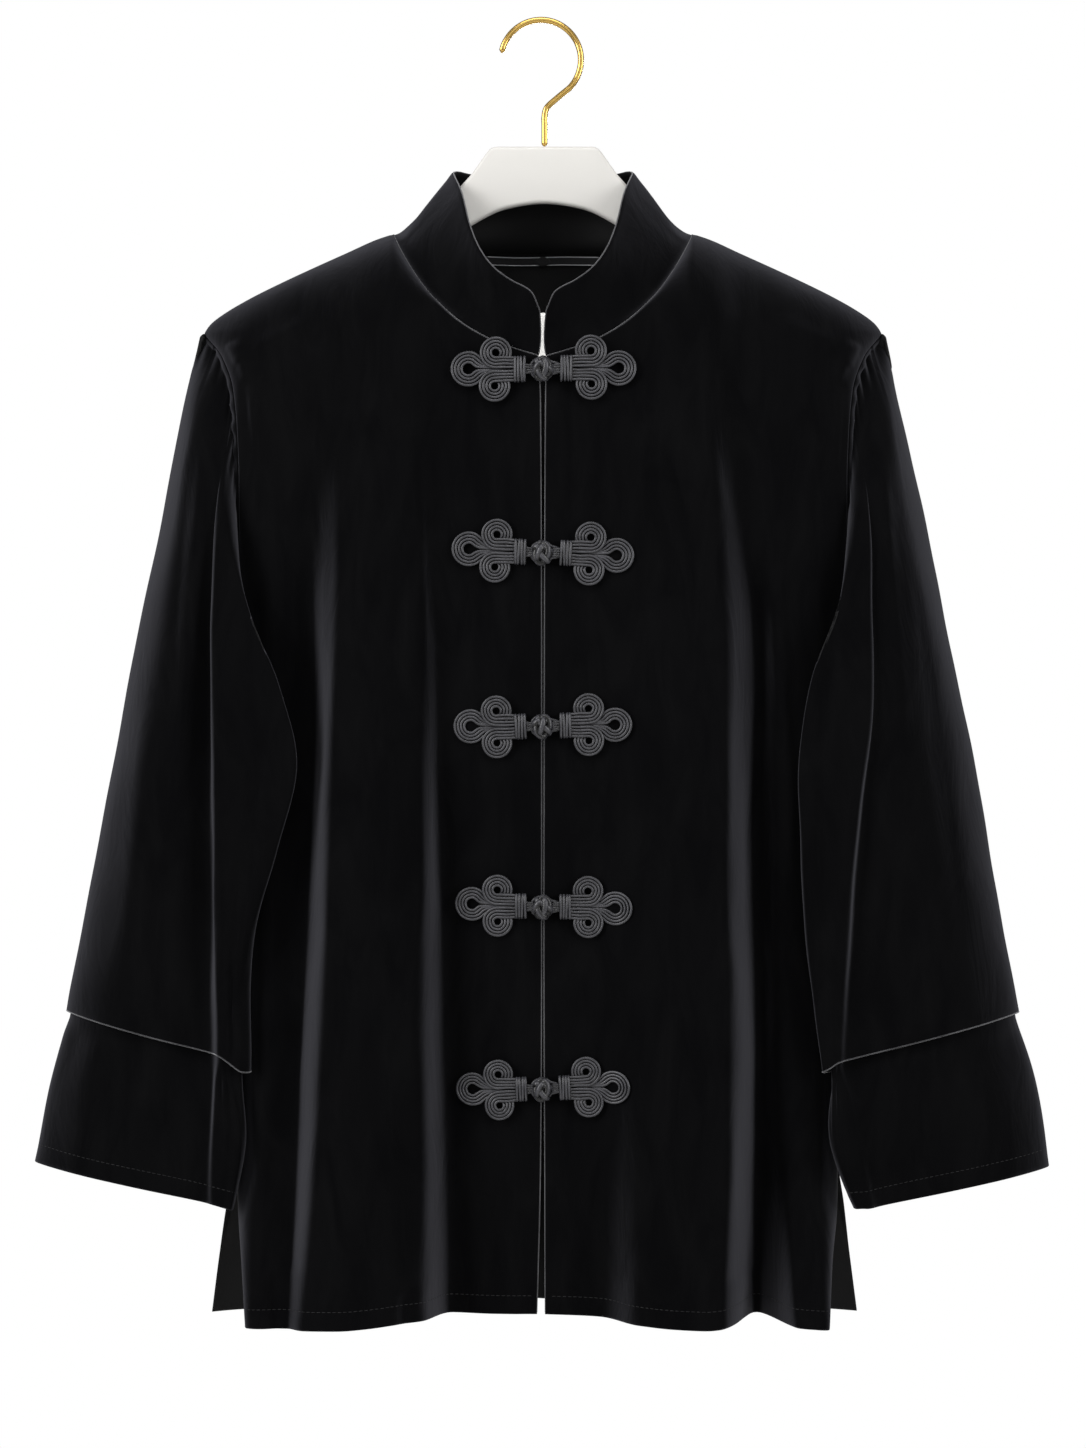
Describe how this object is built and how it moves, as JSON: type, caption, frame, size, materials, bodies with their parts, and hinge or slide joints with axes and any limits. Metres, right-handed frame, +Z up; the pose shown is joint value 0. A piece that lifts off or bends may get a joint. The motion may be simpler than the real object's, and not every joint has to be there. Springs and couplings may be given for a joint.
{
  "type": "velvet tang jacket on a hanger",
  "caption": "Black velvet stand-collar jacket with knotted cord closures down its open front, wide cuffed sleeves and side slits, hanging on a flat white hanger with a gold wire hook.",
  "frame": {"origin": "underside of the top of the hanger's hook, where a rail carries it", "axes": "+Z up, -Y out of the jacket's front, +X to the right as seen from the front"},
  "size_m": [0.6594, 0.1094, 0.8472],
  "materials": {
    "velvet": "black cotton-backed pile velvet, matt head on and silvery at a grazing angle",
    "cord": "charcoal satin cord, coiled and stitched",
    "tape": "dark woven tape",
    "label_cloth": "plain white woven cloth, blank",
    "hanger_white": "warm white, satin, eased edges",
    "gold_wire": "polished gold-plated wire"
  },
  "bodies": {
    "root": {"front_left": "velvet", "front_right": "velvet", "back": "velvet", "sleeve_left": "velvet", "sleeve_right": "velvet", "cuff_left": "velvet", "cuff_right": "velvet", "collar": "velvet", "neck_tape": "tape", "label": "label_cloth", "frog_left_1": "cord", "frog_right_1": "cord", "knot_1": "cord", "frog_left_2": "cord", "frog_right_2": "cord", "knot_2": "cord", "frog_left_3": "cord", "frog_right_3": "cord", "knot_3": "cord", "frog_left_4": "cord", "frog_right_4": "cord", "knot_4": "cord", "frog_left_5": "cord", "frog_right_5": "cord", "knot_5": "cord", "hanger_body": "hanger_white", "hanger_hook": "gold_wire"}
  },
  "joints": []
}
